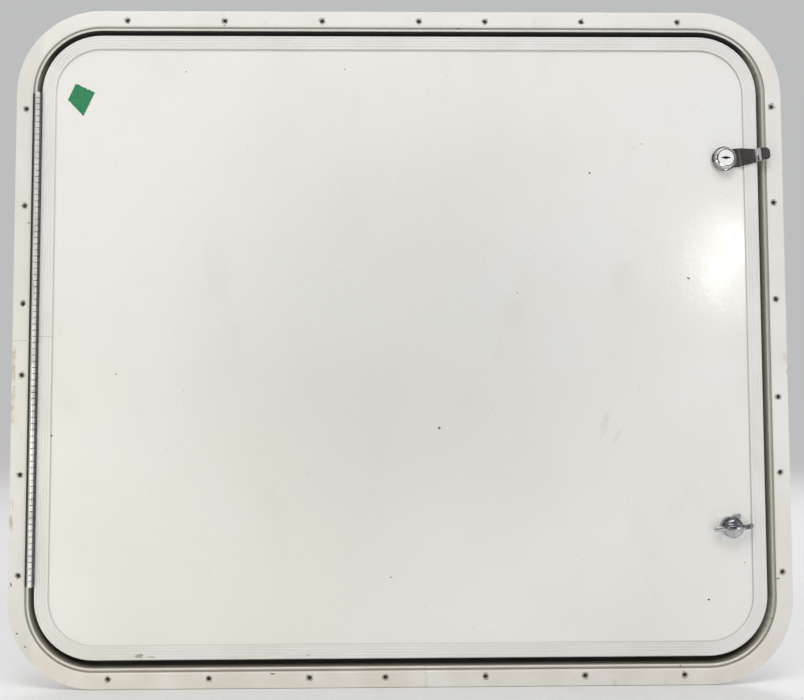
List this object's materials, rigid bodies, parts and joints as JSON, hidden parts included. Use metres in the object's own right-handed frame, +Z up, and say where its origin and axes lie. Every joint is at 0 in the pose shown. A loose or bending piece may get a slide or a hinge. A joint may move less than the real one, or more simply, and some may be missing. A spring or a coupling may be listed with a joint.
{
  "type": "cargo access door",
  "caption": "White framed cargo hatch for a caravan wall: a rounded panel door on a continuous hinge, with a key lock, finger pull and thumb turn.",
  "frame": {"origin": "middle of the frame, in the plane of the flange's back face, which lies on the wall", "axes": "+X to the right seen from outside, +Y into the wall, +Z up"},
  "size_m": [0.8, 0.0584, 0.6984],
  "materials": {
    "white_paint": "satin white paint on aluminium",
    "white_gelcoat": "glossy white gel coat",
    "white_lining": "plain white lining sheet",
    "foam": "rigid foam",
    "seal_rubber": "matt black sponge rubber",
    "hinge_metal": "bright mill finish",
    "bright_chrome": "polished plate",
    "zinc_plate": "zinc plate"
  },
  "bodies": {
    "frame": {"frame": "white_paint", "stop_seal": "seal_rubber", "hinge_frame_leaf": "hinge_metal", "hinge_pin": "hinge_metal"},
    "door": {"door_trim": "white_paint", "outer_skin": "white_gelcoat", "foam_core": "foam", "inner_skin": "white_lining", "hinge_door_leaf": "hinge_metal", "finger_pull": "bright_chrome", "key_lock_body": "bright_chrome", "key_nut": "zinc_plate", "thumb_latch_body": "bright_chrome", "thumb_nut": "zinc_plate"},
    "key_turn": {"key_lock_plug": "bright_chrome", "key_cam": "zinc_plate", "key_cam_screw": "zinc_plate"},
    "thumb_turn": {"thumb_knob": "bright_chrome", "thumb_cam": "zinc_plate", "thumb_cam_screw": "zinc_plate"}
  },
  "joints": [
    {"name": "door_swing", "type": "hinge", "parent": "frame", "child": "door", "pos_m": [-0.3763, -0.0055, 0], "axis": [0, 0, -1], "range_deg": [0, 175]},
    {"name": "key_cam_turn", "type": "hinge", "parent": "door", "child": "key_turn", "pos_m": [0.338, 0, 0.1925], "axis": [0, -1, 0], "range_deg": [0, 90]},
    {"name": "thumb_cam_turn", "type": "hinge", "parent": "door", "child": "thumb_turn", "pos_m": [0.338, 0, -0.19], "axis": [0, -1, 0], "range_deg": [0, 90]}
  ]
}
